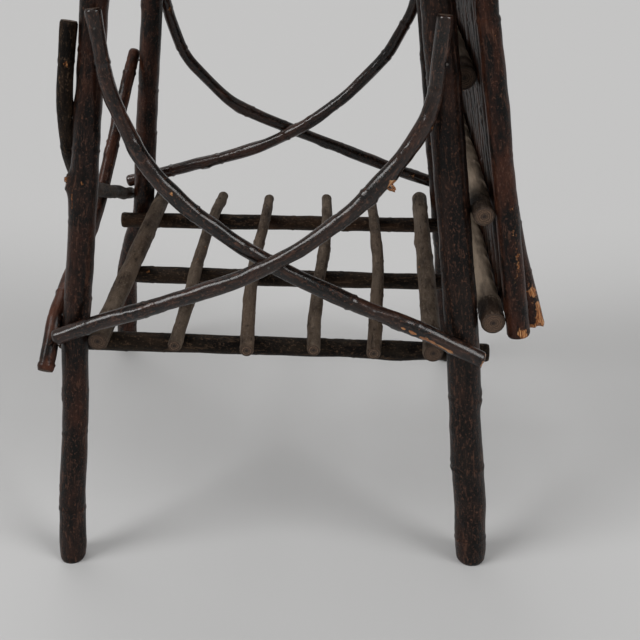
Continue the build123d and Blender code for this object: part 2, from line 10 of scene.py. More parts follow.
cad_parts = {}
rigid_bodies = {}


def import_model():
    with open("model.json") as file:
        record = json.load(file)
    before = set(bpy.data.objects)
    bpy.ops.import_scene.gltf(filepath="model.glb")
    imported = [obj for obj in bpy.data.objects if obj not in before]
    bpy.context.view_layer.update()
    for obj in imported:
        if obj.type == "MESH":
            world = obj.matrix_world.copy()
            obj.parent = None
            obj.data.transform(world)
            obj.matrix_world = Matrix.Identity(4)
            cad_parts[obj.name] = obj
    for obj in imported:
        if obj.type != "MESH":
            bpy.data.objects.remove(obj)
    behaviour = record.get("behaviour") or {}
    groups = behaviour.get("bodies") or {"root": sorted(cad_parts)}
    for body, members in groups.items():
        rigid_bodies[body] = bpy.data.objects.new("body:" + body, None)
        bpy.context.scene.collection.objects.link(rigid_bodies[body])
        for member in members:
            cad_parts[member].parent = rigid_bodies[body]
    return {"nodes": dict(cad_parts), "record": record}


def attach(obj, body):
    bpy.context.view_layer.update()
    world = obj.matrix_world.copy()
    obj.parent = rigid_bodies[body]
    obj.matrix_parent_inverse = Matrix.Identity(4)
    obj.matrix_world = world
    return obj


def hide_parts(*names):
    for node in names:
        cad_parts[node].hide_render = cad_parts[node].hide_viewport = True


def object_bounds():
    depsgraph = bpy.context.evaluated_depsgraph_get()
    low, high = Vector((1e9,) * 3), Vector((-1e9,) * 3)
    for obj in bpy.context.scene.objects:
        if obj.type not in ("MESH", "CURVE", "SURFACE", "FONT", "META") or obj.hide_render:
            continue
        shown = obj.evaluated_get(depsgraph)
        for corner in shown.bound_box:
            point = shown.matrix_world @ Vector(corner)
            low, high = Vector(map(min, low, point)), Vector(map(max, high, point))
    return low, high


# Looks of the rustic hickory table: every stick of the frame gets its bark, knots and sawn ends.
for spare in list(bpy.data.objects):
    bpy.data.objects.remove(spare)
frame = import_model()
cad_box = np.array(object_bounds())

MM = 0.001

# ---- Reading the frame's sticks ----
SIDES = 8                   # flats round a stick of the frame
LEG_SIDES = 10
SECTION_STEP = 8 * MM       # between the cross-sections read from a stick
SECTION_INSET = 0.5 * MM    # from a sawn end's rim to the nearest of them
SAME_PLANE = 0.99995        # cosine between the normals of one flat face's triangles
ROUND = 0.03                # spread of the radius allowed in a sawn end's rim

# ---- The bark's mesh ----
SMOOTH = 11 * MM            # the frame's ruled sections are eased over this length
RING_STEP = 2.4 * MM        # between rings of points
AROUND = 32                 # points round a ring
END_EASE = 0.9 * MM         # rounding of a sawn end's rim
END_FADE = 4 * MM           # the relief flattens over this length towards an end
END_RELIEF = 0.4            # and this share of it is left there
LEAST_RADIUS = 0.3          # no pit goes deeper than this share of the stick's radius
SLANT_FADE = 3.2            # an end plane's slant fades over this many radii
SPLIT_FADE = 2.5            # splinters fade over this many times their depth
CAP_SHARES = (0.03, 0.3, 0.55, 0.78, 0.93)  # rings of a sawn end, as shares of its radius
CAP_ROUGH = 0.3 * MM        # depth of its saw marks
RIM_DARK = 0.75             # how dark its outermost ring is
FRESH = 4 * MM              # an end splintered at least this deep shows fresh wood all over

# ---- Layers of the bark's noise: length of a cell, and number of cells round the stick ----
LONG_LUMPS = (45 * MM, 3)
SHORT_LUMPS = (17 * MM, 5)
RIDGES = (30 * MM, 13)
GRIT = (5 * MM, AROUND // 2)
TORN_EDGE = (3 * MM, 16)

# ---- Growth nodes: rings round a stick where a year's shoot began ----
NODES_START = (20 * MM, 60 * MM)    # the first one lies between these
NODES_APART = 85 * MM
NODE_SHIFT = 25 * MM        # the furthest that one lies off its even place
NODE_SLANT = 2.5 * MM       # the most that one leans to a side
NODE_RIM = 1.8 * MM         # half width of the raised rim
NODE_GROOVE = 1.5 * MM      # half width of the groove beside it
NODE_GROOVE_AT = 3.4 * MM   # from the rim to the groove
NODE_GROOVE_DEPTH = 0.6     # as a share of the rim's height

# ---- Knots: their pit and lip as shares of a mark's height and size ----
PIT_DEPTH, PIT_WIDTH = 0.6, 0.42
LIP_HEIGHT, LIP_AT, LIP_WIDTH = 0.3, 0.75, 0.2
# chance knots: size and height in mm, and how torn each of four is
CHANCE_SIZE = (3.0, 5.5)
CHANCE_HEIGHT = (0.5, 1.3)
CHANCE_TORN = (0.0, 0.0, 0.0, 0.55)

# ---- Trimmed side shoots, as shares of a radius ----
STUB_ROOT = 0.4             # from the parent's middle to where the shoot's mesh begins
STUB_FOOT, STUB_TIP = 1.5, 0.75     # the shoot's own radius at both ends

# ---- Dents round the nails' heads ----
NAIL_REACH = 4 * MM         # a head this near to a stick's surface dents it
DENT_RADIUS = 1.9 * MM
DENT_DEPTH = 1.0 * MM

# ---- Camera, from the shape of the photographed legs and shelf ----
CAMERA_AT = (66.389 * MM, -1075.870 * MM, 781.263 * MM)
CAMERA_PITCH = 29.058       # degrees down
CAMERA_YAW = 1.496
CAMERA_ROLL = 0.598
SENSOR = 36.0               # width in mm
FOCAL_PIXELS = 991.9        # focal length in pixels of the photograph
PHOTO_PIXELS = 640          # the photograph's width
LENS = FOCAL_PIXELS / PHOTO_PIXELS * SENSOR

# ---- Light and floor ----
# each lamp's direction, its angle in degrees and its strength
LAMPS = {
    "left": ((-0.8, -0.35, 0.8), 28, 1.45),
    "right": ((0.85, -0.4, 0.85), 28, 1.05),
    "back": ((-0.3, 1.0, 1.3), 40, 0.6),
}
WORLD_COLOUR = (1.0, 0.985, 0.965, 1)
WORLD_STRENGTH = 0.34
FLOOR_HALF = 15.0
FLOOR_COLOUR = (0.54, 0.54, 0.54, 1)


# ---------------------------------------------------------------- reading the frame

def loose_parts(bm):
    """The separate solids of a mesh, each as a list of its vertices."""
    seen, found = set(), []
    for first in bm.verts:
        if first in seen:
            continue
        seen.add(first)
        stack, members = [first], []
        while stack:
            vert = stack.pop()
            members.append(vert)
            for edge in vert.link_edges:
                other = edge.other_vert(vert)
                if other not in seen:
                    seen.add(other)
                    stack.append(other)
        found.append(members)
    return found


def solids(node):
    """Each separate solid of a node of the frame, as a list of its vertices."""
    bm = bmesh.new()
    bm.from_mesh(frame["nodes"][node].data)
    bmesh.ops.remove_doubles(bm, verts=bm.verts, dist=1e-6)
    bm.normal_update()
    yield from loose_parts(bm)
    bm.free()


def in_order(items):
    """Each item once, in an order that is the same on every run."""
    return list(dict.fromkeys(items))


def faces_of(members):
    """The faces of a solid, given by its vertices."""
    return in_order(face for vert in members for face in vert.link_faces)


def sawn_ends(members, sides):
    """The two flat ends of a stick: centre, normal and rim of each."""
    seen, ends = set(), []
    for first in faces_of(members):
        if first in seen:
            continue
        seen.add(first)
        stack, region = [first], [first]
        while stack:
            for edge in stack.pop().edges:
                for face in edge.link_faces:
                    if face not in seen and face.normal.dot(first.normal) > SAME_PLANE:
                        seen.add(face)
                        stack.append(face)
                        region.append(face)
        rim = in_order(vert for face in region for vert in face.verts)
        if len(rim) != sides:
            continue
        centre = sum((vert.co for vert in rim), Vector()) / sides
        spans = [(vert.co - centre).length for vert in rim]
        if max(spans) - min(spans) < ROUND * max(spans):
            ends.append((centre, first.normal.copy(), [vert.co.copy() for vert in rim]))
    return ends


def section(triangles, normals, origin, axis):
    """Area and centroid of the cut through a closed solid square to axis."""
    depth = (triangles - origin) @ axis
    crossing = (depth.min(axis=1) < 0) & (depth.max(axis=1) > 0)
    area, moment = 0.0, np.zeros(3)
    for corners, d, normal in zip(triangles[crossing], depth[crossing], normals[crossing]):
        points = []
        for i in range(3):
            j = (i + 1) % 3
            if (d[i] < 0) != (d[j] < 0):
                points.append(corners[i] + (corners[j] - corners[i]) * d[i] / (d[i] - d[j]))
        start, stop = points
        if (stop - start) @ np.cross(axis, normal) < 0:
            start, stop = stop, start
        piece = 0.5 * np.cross(start - origin, stop - origin) @ axis
        area += piece
        moment += piece * (start + stop + origin) / 3
    return area, moment / area


def first_end_first(ends):
    """The lower end of an upright stick first, else the left one, else the front one."""
    run = ends[1][0] - ends[0][0]
    largest = max(range(3), key=lambda i: abs(run[i]))
    return ends if run[largest] > 0 else ends[::-1]


def stick_line(members, sides):
    """A stick's axis points, its radius at each, and the planes of its two ends."""
    ends = first_end_first(sawn_ends(members, sides))
    (low, low_normal, low_rim), (high, high_normal, high_rim) = ends
    axis = np.array((high - low).normalized())
    faces = faces_of(members)
    triangles = np.array([[vert.co for vert in face.verts] for face in faces])
    normals = np.array([face.normal for face in faces])
    start = max((np.array(co) - low) @ axis for co in low_rim) + SECTION_INSET
    stop = min((np.array(co) - low) @ axis for co in high_rim) - SECTION_INSET
    points, areas = [], []
    for at in np.linspace(start, stop, max(3, round((stop - start) / SECTION_STEP))):
        area, centre = section(triangles, normals, np.array(low) + axis * at, axis)
        points.append(centre)
        areas.append(area)
    points = np.array([low, *points, high])
    heading = np.gradient(points, axis=0)
    slant = (heading @ axis) / np.linalg.norm(heading, axis=1)
    flats = sides * math.tan(math.pi / sides)
    radii = np.sqrt(np.array(areas) * slant[1:-1] / flats)
    rim_share = math.cos(math.pi / sides)
    low_r = rim_share * sum((co - low).length for co in low_rim) / sides
    high_r = rim_share * sum((co - high).length for co in high_rim) / sides
    # the end planes of the frame's legs are slanted, so their rims are only near the true radius
    low_r, high_r = min(low_r, radii[0] * (1 + ROUND)), min(high_r, radii[-1] * (1 + ROUND))
    radii = np.array([low_r, *radii, high_r])
    return points, radii, (np.array(low_normal), np.array(high_normal))


def read_sticks(node):
    """The lines of all sticks in a node of the frame, in the order of their middles."""
    sides = LEG_SIDES if node.startswith("leg_") else SIDES
    lines = [stick_line(members, sides) for members in solids(node)]
    return sorted(lines, key=lambda line: tuple(line[0].mean(axis=0)[[1, 0]]))


def nail_heads():
    """Where each nail of the frame goes into a stick: its two end points."""
    heads = []
    for name in frame["nodes"]:
        if not name.endswith("_nails"):
            continue
        for members in solids(name):
            co = np.array([vert.co for vert in members])
            centre = co.mean(axis=0)
            axis = np.linalg.svd(co - centre)[2][0]
            reach = abs((co - centre) @ axis).max()
            heads += [centre + axis * reach, centre - axis * reach]
    return np.array(heads)


# ---------------------------------------------------------------- bark

def ripple(rng, along, around, cell, cells_round):
    """Smooth noise from -1 to 1 over a stick, with cells of that length and number round it."""
    rows = along / cell
    grid = rng.uniform(-1, 1, (int(rows.max()) + 3, cells_round))
    i = np.floor(rows).astype(int)
    cols = around / math.tau * cells_round
    j = np.floor(cols).astype(int)
    f, g = rows - i, cols - j
    f, g = f * f * (3 - 2 * f), g * g * (3 - 2 * g)
    near = grid[i, j % cells_round] * (1 - g) + grid[i, (j + 1) % cells_round] * g
    far = grid[i + 1, j % cells_round] * (1 - g) + grid[i + 1, (j + 1) % cells_round] * g
    return near * (1 - f) + far * f


def eased(values, step, length):
    """values smoothed along the stick over length, with both ends kept."""
    reach = int(3 * length / step)
    weights = np.exp(-0.5 * (np.arange(-reach, reach + 1) * step / length) ** 2)
    weights /= weights.sum()
    head = 2 * values[0] - values[1:reach + 1][::-1]
    tail = 2 * values[-1] - values[-reach - 1:-1][::-1]
    padded = np.concatenate([head, values, tail])
    columns = [np.convolve(column, weights, mode="valid") for column in padded.T]
    return np.array(columns).T


class Bark:
    """How a kind of stick looks: its material and the sizes of its bark's relief, given in mm.

    fullness is the bark's radius as a share of the frame's.
    """

    def __init__(self, material, lumps, ridges, grit, nodes, knots_apart, fullness=1.012):
        self.material, self.fullness = material, fullness
        self.lumps, self.ridges, self.grit = lumps * MM, ridges * MM, grit * MM
        self.nodes, self.knots_apart = nodes * MM, knots_apart * MM


class Mark:
    """A knot, a scar or a chip: where along a stick, which way it faces, its size and its height in mm.

    torn is how much bare wood shows, and stretch how much longer than wide the mark is.
    """

    def __init__(self, share, towards, size, height, torn=0.0, stretch=1.35):
        self.share, self.towards = share, np.array(towards) / np.linalg.norm(towards)
        self.size, self.height = size * MM, height * MM
        self.torn, self.stretch = torn, stretch


class Stick:
    """One stick with bark: a grid of rings from one sawn end to the other.

    marks are knots, scars and chips, heads the ends of the table's nails, and ragged how deep each
    end is splintered, in mm. tone runs from grey, 0, to red, 1.
    """

    def __init__(self, name, line, bark, marks=(), heads=(), ragged=(0.0, 0.0), tone=None, smooth=SMOOTH):
        self.rng = np.random.default_rng(zlib.crc32(name.encode()))
        self.bark, self.ragged = bark, [depth * MM for depth in ragged]
        self.tone = self.rng.uniform(0.25, 0.75) if tone is None else tone
        points, radii, self.end_normals = line
        self.resample(points, radii, smooth)
        self.frames()
        self.rings(list(marks) + self.chance_knots(), heads)

    def resample(self, points, radii, smooth):
        """Even rings along the line, with the frame's corners eased."""
        steps = np.linalg.norm(np.diff(points, axis=0), axis=1)
        at = np.concatenate([[0], np.cumsum(steps)])
        count = max(8, round(at[-1] / RING_STEP))
        even = np.linspace(0, at[-1], count + 1)
        table = np.column_stack([points, radii])
        table = np.column_stack([np.interp(even, at, column) for column in table.T])
        if smooth:
            table = eased(table, even[1], smooth)
        self.at, self.line, self.radius = even, table[:, :3], table[:, 3] * self.bark.fullness
        self.length = at[-1]

    def frames(self):
        """At each ring: the way on, and two directions square to it, carried along untwisted."""
        heading = np.gradient(self.line, axis=0)
        self.heading = heading / np.linalg.norm(heading, axis=1)[:, None]
        upright = abs(self.heading[0] @ (0, 0, 1)) > 0.8
        side = np.array((0, -1.0, 0) if upright else (0, 0, 1.0))
        sides = []
        for ahead in self.heading:
            side = side - ahead * (side @ ahead)
            side = side / np.linalg.norm(side)
            sides.append(side)
        self.side = np.array(sides)
        self.other = np.cross(self.heading, self.side)

    def chance_knots(self):
        """Small knots where side shoots were trimmed off."""
        rng, marks = self.rng, []
        for _ in range(int(self.length / self.bark.knots_apart)):
            size = rng.uniform(*CHANCE_SIZE)
            share, towards = rng.uniform(0.04, 0.96), rng.normal(size=3)
            height = rng.uniform(*CHANCE_HEIGHT)
            marks.append(Mark(share, towards, size, height, torn=rng.choice(CHANCE_TORN)))
        return marks

    def rings(self, marks, heads):
        """The radius of the bark at each point of the grid, and how torn and dark it is there."""
        around = np.linspace(0, math.tau, AROUND, endpoint=False)
        along, self.turn = np.meshgrid(self.at, around, indexing="ij")
        self.out = self.side[:, None, :] * np.cos(self.turn)[..., None]
        self.out = self.out + self.other[:, None, :] * np.sin(self.turn)[..., None]
        radius = np.repeat(self.radius[:, None], AROUND, axis=1)
        relief = self.ripples(along) + self.growth_nodes(along)
        self.torn, self.dark = np.zeros_like(relief), np.zeros_like(relief)
        for mark in marks:
            self.add_mark(mark, relief, along)
        self.sink_nails(heads, radius, relief)
        to_end = np.minimum(along, self.length - along)
        relief *= END_RELIEF + (1 - END_RELIEF) * np.clip(to_end / END_FADE, 0, 1)
        rim = np.clip(to_end / (2 * END_EASE), 0, 1)
        ease = END_EASE * (1 - np.sqrt(1 - (1 - rim) ** 2))
        self.height = np.maximum(radius + relief - ease, LEAST_RADIUS * radius)

    def ripples(self, along):
        """Long and short lumps, ridges along the stick, and grit."""
        rng, bark, turn = self.rng, self.bark, self.turn
        relief = bark.lumps * ripple(rng, along, turn, *LONG_LUMPS)
        relief += 0.6 * bark.lumps * ripple(rng, along, turn, *SHORT_LUMPS)
        relief += bark.ridges * ripple(rng, along, turn, *RIDGES)
        return relief + bark.grit * ripple(rng, along, turn, *GRIT)

    def growth_nodes(self, along):
        """A raised rim with a groove beside it at each growth node, a little aslant."""
        rng, relief = self.rng, np.zeros_like(along)
        for where in np.arange(rng.uniform(*NODES_START), self.length, NODES_APART):
            slant = rng.uniform(-NODE_SLANT, NODE_SLANT)
            off = along - where - rng.uniform(-NODE_SHIFT, NODE_SHIFT)
            off -= slant * np.cos(self.turn - rng.uniform(0, math.tau))
            rim = np.exp(-(off / NODE_RIM) ** 2)
            groove = np.exp(-((off - NODE_GROOVE_AT) / NODE_GROOVE) ** 2)
            relief += self.bark.nodes * rng.uniform(0.4, 1.3) * (rim - NODE_GROOVE_DEPTH * groove)
        return relief

    def add_mark(self, mark, relief, along):
        """A swelling with a pit and a lip, or with a negative height a shallow chip."""
        ring = np.argmin(abs(self.at - mark.share * self.length))
        facing = mark.towards - self.heading[ring] * (mark.towards @ self.heading[ring])
        facing = facing / np.linalg.norm(facing)
        arc = self.radius[ring] * np.arccos(np.clip(self.out @ facing, -1, 1))
        far = np.hypot((along - mark.share * self.length) / mark.stretch, arc) / mark.size
        relief += mark.height * np.exp(-far ** 2)
        bare_reach = 1.0
        if mark.height > 0:
            relief -= PIT_DEPTH * mark.height * np.exp(-(far / PIT_WIDTH) ** 2)
            relief += LIP_HEIGHT * mark.height * np.exp(-((far - LIP_AT) / LIP_WIDTH) ** 2)
            bare_reach = 0.5
        rough = 1 + 0.45 * ripple(self.rng, along, self.turn, *TORN_EDGE)
        np.maximum(self.torn, mark.torn * np.clip(1.7 - far / bare_reach * rough, 0, 1), out=self.torn)

    def sink_nails(self, heads, radius, relief):
        """A dark dent round each nail that goes into the stick."""
        surface = self.line[:, None, :] + self.out * (radius + relief)[..., None]
        for head in heads:
            near = np.linalg.norm(surface - head, axis=2)
            if near.min() < NAIL_REACH:
                dent = np.exp(-(near / DENT_RADIUS) ** 2)
                relief -= DENT_DEPTH * dent
                self.dark = np.maximum(self.dark, dent)

    def end_cap(self, last):
        """The rings of one end, from its middle outwards, and their bark coordinates."""
        ring, facing = (-1, -1) if last else (0, 1)
        turn, rings, coords = self.turn[ring], [], []
        for share in CAP_SHARES:
            radius = self.height[ring] * share
            rough = self.rng.uniform(0, CAP_ROUGH, AROUND) * facing
            flat = self.line[ring] + self.out[ring] * radius[:, None]
            rings.append(flat + np.outer(rough, self.heading[ring]))
            coords.append(self.bark_coords(radius, turn, np.full(AROUND, self.at[ring])))
        return (rings[::-1], coords[::-1]) if last else (rings, coords)

    @staticmethod
    def bark_coords(radius, turn, along):
        """A point's place in the straightened stick, which the materials' patterns follow."""
        return np.stack([radius * np.cos(turn), radius * np.sin(turn), along], axis=-1)

    def grid(self):
        """Points, bark coordinates, torn and dark marks of all rings."""
        side = self.line[:, None, :] + self.out * self.height[..., None]
        along = np.repeat(self.at[:, None], AROUND, axis=1)
        low_rings, low_coords = self.end_cap(False)
        high_rings, high_coords = self.end_cap(True)
        points = np.concatenate([low_rings, side, high_rings])
        coords = np.concatenate([low_coords, self.bark_coords(self.height, self.turn, along), high_coords])
        caps = len(CAP_SHARES)
        fresh = [min(1.0, depth / FRESH) for depth in self.ragged]
        low_torn, high_torn = (np.full((caps, AROUND), share) for share in fresh)
        torn = np.concatenate([low_torn, self.torn, high_torn])
        rim = np.outer([0.0] * (caps - 1) + [RIM_DARK], np.ones(AROUND))
        dark = np.concatenate([rim, self.dark, rim[::-1]])
        self.lay_on_ends(points, torn, fresh)
        return np.clip(points, *cad_box), coords, torn, dark

    def lay_on_ends(self, points, torn, fresh):
        """Slants the rings near each end into the frame's end plane, and splinters a ragged end."""
        caps = len(CAP_SHARES)
        where = np.concatenate([np.zeros(caps), self.at, np.full(caps, self.length)])
        around = np.linspace(0, math.tau, AROUND, endpoint=False)
        one_row = np.zeros(AROUND)
        for i, facing in enumerate((1, -1)):
            end, normal, depth = -i, self.end_normals[i], self.ragged[i]
            ahead, origin = self.heading[end], self.line[end]
            off = (points - origin) @ normal
            along = (points - origin) @ ahead
            skew = (off - along * (ahead @ normal)) / (ahead @ normal)
            gap = abs(where - where[end])
            fade = np.clip(1 - gap / (SLANT_FADE * self.radius[end]), 0, 1)
            points -= (skew * fade[:, None])[..., None] * ahead
            if depth:
                # broad splinters and fine ones between them
                split = 0.5 + 0.35 * ripple(self.rng, one_row, around, 1.0, 5)
                split += 0.5 * ripple(self.rng, one_row, around, 1.0, 14)
                split = depth * np.clip(split, 0, 1)
                fade = np.clip(1 - gap / (SPLIT_FADE * depth), 0, 1)
                points += (fade[:, None] * split)[..., None] * ahead * facing
                bare = np.clip(1.6 - gap[:, None] / (split + 1 * MM), 0, 1) * fresh[i]
                np.maximum(torn, bare, out=torn)


def stub(name, parent, share, towards, length, radius, ragged):
    """A trimmed side shoot that stands out of a stick, flared at its foot. Sizes are in mm."""
    ring = np.argmin(abs(parent.at - share * parent.length))
    towards = np.array(towards) / np.linalg.norm(towards)
    root = parent.line[ring] + towards * STUB_ROOT * parent.radius[ring]
    tip = parent.line[ring] + towards * (parent.radius[ring] + length * MM)
    shares = np.linspace(0, 1, 9)
    points = root + np.outer(shares, tip - root)
    radii = radius * MM * (STUB_FOOT - (STUB_FOOT - STUB_TIP) * shares ** 0.6)
    return Stick(name, (points, radii, (-towards, towards)), parent.bark, ragged=(0.0, ragged),
                 tone=parent.tone, smooth=0)


def ring_faces(base, rings):
    """Faces over rings of points that start at base, and their materials: 0 is bark and 1 sawn."""
    caps = len(CAP_SHARES)
    faces, kinds = [], []
    for i in range(rings - 1):
        row, after = base + i * AROUND, base + (i + 1) * AROUND
        for j in range(AROUND):
            k = (j + 1) % AROUND
            faces.append((row + j, row + k, after + k, after + j))
        kinds += [int(i < caps or i >= rings - 1 - caps)] * AROUND
    last = base + (rings - 1) * AROUND
    faces.append(tuple(base + j for j in reversed(range(AROUND))))
    faces.append(tuple(last + j for j in range(AROUND)))
    return faces, kinds + [1, 1]


def stick_mesh(name, sticks):
    """One mesh of all sticks of a node, with the marks that the materials read."""
    verts, faces, kinds = [], [], []
    marks = {"bark": [], "torn": [], "dark": [], "tone": []}
    base = 0
    for stick in sticks:
        points, *stick_marks = stick.grid()
        rings = len(points)
        verts.append(points.reshape(-1, 3))
        stick_marks.append(np.full(rings * AROUND, stick.tone))
        for values, new in zip(marks.values(), stick_marks):
            values.append(new.ravel())
        stick_faces, stick_kinds = ring_faces(base, rings)
        faces += stick_faces
        kinds += stick_kinds
        base += rings * AROUND
    mesh = bpy.data.meshes.new(name)
    mesh.from_pydata(np.concatenate(verts).tolist(), [], faces)
    mesh.polygons.foreach_set("material_index", kinds)
    mesh.polygons.foreach_set("use_smooth", [True] * len(faces))
    for key, values in marks.items():
        kind, field = ("FLOAT_VECTOR", "vector") if key == "bark" else ("FLOAT", "value")
        attribute = mesh.attributes.new(key, kind, "POINT")
        attribute.data.foreach_set(field, np.concatenate(values))
    return mesh


# ---------------------------------------------------------------- materials

class Shader:
    """A material's node tree, built one node at a time."""

    def __init__(self, name):
        self.material = bpy.data.materials.new(name)
        self.material.use_nodes = True
        self.tree = self.material.node_tree
        self.surface = self.tree.nodes["Principled BSDF"]

    def add(self, kind, inputs=None, **settings):
        """A node of that kind. inputs maps a socket to a value or to another node's output."""
        node = self.tree.nodes.new(kind)
        for key, value in settings.items():
            setattr(node, key, value)
        for key, value in (inputs or {}).items():
            self.put(node.inputs[key], value)
        return node

    def put(self, socket, value):
        if isinstance(value, bpy.types.NodeSocket):
            self.tree.links.new(value, socket)
        else:
            socket.default_value = value

    def attribute(self, name, output="Fac"):
        return self.add("ShaderNodeAttribute", attribute_name=name).outputs[output]

    def stretched(self, vector, scale):
        return self.add("ShaderNodeMapping", {"Vector": vector, "Scale": scale}).outputs["Vector"]

    def noise(self, vector, scale, detail, rough):
        inputs = {"Vector": vector, "Scale": scale, "Detail": detail, "Roughness": rough}
        return self.add("ShaderNodeTexNoise", inputs).outputs["Fac"]

    def ramp(self, factor, *stops):
        """A colour ramp; stops are (place, colour or grey)."""
        node = self.add("ShaderNodeValToRGB", {"Fac": factor})
        elements = node.color_ramp.elements
        while len(elements) < len(stops):
            elements.new(0.5)
        for element, (place, colour) in zip(elements, stops):
            element.position = place
            grey = isinstance(colour, (int, float))
            element.color = (colour, colour, colour, 1) if grey else (*colour, 1)
        return node.outputs["Color"]

    def mix(self, factor, first, second):
        """first where factor is 0 and second where it is 1."""
        node = self.add("ShaderNodeMix", data_type="RGBA")
        for socket, value in zip((node.inputs[0], node.inputs[6], node.inputs[7]), (factor, first, second)):
            if isinstance(value, tuple):
                value = (*value, 1)
            self.put(socket, value)
        return node.outputs[2]

    def maths(self, operation, first, second=0.0):
        return self.add("ShaderNodeMath", {0: first, 1: second}, operation=operation).outputs[0]

    def swing(self, noise, size):
        """A noise about 0 instead of a half, times size."""
        return self.maths("MULTIPLY", self.maths("SUBTRACT", noise, 0.5), size)

    def bump(self, height, strength, distance, normal=None):
        node = self.add("ShaderNodeBump", {"Height": height, "Strength": strength, "Distance": distance})
        if normal is not None:
            self.put(node.inputs["Normal"], normal)
        return node.outputs["Normal"]

    def finish(self, **sockets):
        """Sets the surface's sockets, named with _ for a space, and gives the material."""
        for key, value in sockets.items():
            self.put(self.surface.inputs[key.replace("_", " ")], value)
        return self.material


def shade(colour, share):
    """A colour made that many times as light."""
    return tuple(share * c for c in colour)


def torn_wood(sh, place, edge, colour):
    """Bare splintered wood over colour, where the mesh's torn mark is set."""
    fibre = sh.noise(sh.stretched(place, (1, 1, 0.08)), scale=900.0, detail=3.0, rough=0.6)
    wood = sh.ramp(fibre, (0.34, (0.035, 0.013, 0.006)), (0.44, (0.22, 0.07, 0.02)),
                   (0.55, (0.46, 0.19, 0.065)), (0.67, (0.64, 0.39, 0.19)))
    torn = sh.maths("ADD", sh.attribute("torn"), sh.swing(edge, 1.6))
    return sh.mix(sh.ramp(torn, (0.5, 0.0), (0.68, 1.0)), colour, wood)


def bark_material(name, dark, grey, red, light, cover, rough, coat, bare=None):
    """Bark: dark and brown patches, light speckle with painted glints, furrows along the stick, and torn
    wood.

    The mesh's tone shifts a stick from grey to red. bare is the colour of a stick that has lost its
    bark but for a collar at its first end.
    """
    sh = Shader(name)
    tone = sh.attribute("tone")
    straight = sh.attribute("bark", "Vector")
    along = sh.add("ShaderNodeSeparateXYZ", {0: straight}).outputs["Z"]
    # sticks of different tone are cut from different places of the patterns
    shift = sh.add("ShaderNodeCombineXYZ", {"X": sh.maths("MULTIPLY", tone, 7.0),
                                            "Y": sh.maths("MULTIPLY", tone, 3.0)}).outputs[0]
    place = sh.add("ShaderNodeVectorMath", {0: straight, 1: shift}, operation="ADD").outputs[0]
    long = sh.stretched(place, (1, 1, 0.2))
    blotch = sh.noise(sh.stretched(place, (1, 1, 0.45)), scale=48.0, detail=6.0, rough=0.65)
    cloud = sh.noise(sh.stretched(place, (1, 1, 0.4)), scale=21.0, detail=3.0, rough=0.5)
    streak = sh.noise(long, scale=240.0, detail=5.0, rough=0.7)
    speck = sh.noise(sh.stretched(place, (1, 1, 0.7)), scale=400.0, detail=5.0, rough=0.75)

    # the bark's own colour, from dark patches to grey or red
    redness = sh.maths("ADD", tone, sh.swing(cloud, 1.0))
    middle = sh.mix(sh.ramp(redness, (0.3, 0.0), (0.7, 1.0)), grey, red)
    middle = sh.mix(sh.ramp(tone, (0.9, 0.0), (1.0, 0.8)), middle, shade(red, 2.5))
    colour = sh.mix(sh.ramp(blotch, (cover[0], 0.0), (cover[1], 1.0)), dark, middle)
    # light streaks and specks, painted glints on the brightest specks, and dark cracks along the stick
    colour = sh.mix(sh.ramp(streak, (0.56, 0.0), (0.68, 0.6)), colour, light)
    colour = sh.mix(sh.ramp(speck, (0.55, 0.0), (0.63, 0.7)), colour, light)
    # painted glints of light: the brightest specks get the speck colour made 2.4 times as light
    colour = sh.mix(sh.ramp(speck, (0.68, 0.0), (0.74, 0.8)), colour, shade(light, 2.4))
    colour = sh.mix(sh.ramp(streak, (0.32, 0.9), (0.44, 0.0)), colour, shade(dark, 0.3))
    if bare:
        grain = sh.noise(long, scale=90.0, detail=4.0, rough=0.6)
        wood = sh.mix(sh.ramp(grain, (0.42, 0.0), (0.62, 1.0)), bare, shade(bare, 0.5))
        collar = sh.maths("ADD", along, sh.swing(speck, 0.03))
        colour = sh.mix(sh.ramp(collar, (0.034, 0.0), (0.040, 1.0)), colour, wood)
    colour = torn_wood(sh, place, speck, colour)
    colour = sh.mix(sh.attribute("dark"), colour, (0.004, 0.0035, 0.0035))

    roughness = sh.ramp(speck, (0.35, rough[0]), (0.65, rough[1]))
    varnish = sh.bump(sh.noise(place, scale=380.0, detail=4.0, rough=0.65), 0.5, 0.45 * MM)
    furrows = sh.noise(long, scale=200.0, detail=6.0, rough=0.7)
    normal = sh.bump(furrows, 1.0, 1.6 * MM, sh.bump(speck, 0.8, 0.8 * MM))
    return sh.finish(Base_Color=colour, Roughness=roughness, Normal=normal, Specular_IOR_Level=0.08,
                     Coat_Weight=coat, Coat_Roughness=0.13, Coat_Normal=varnish)


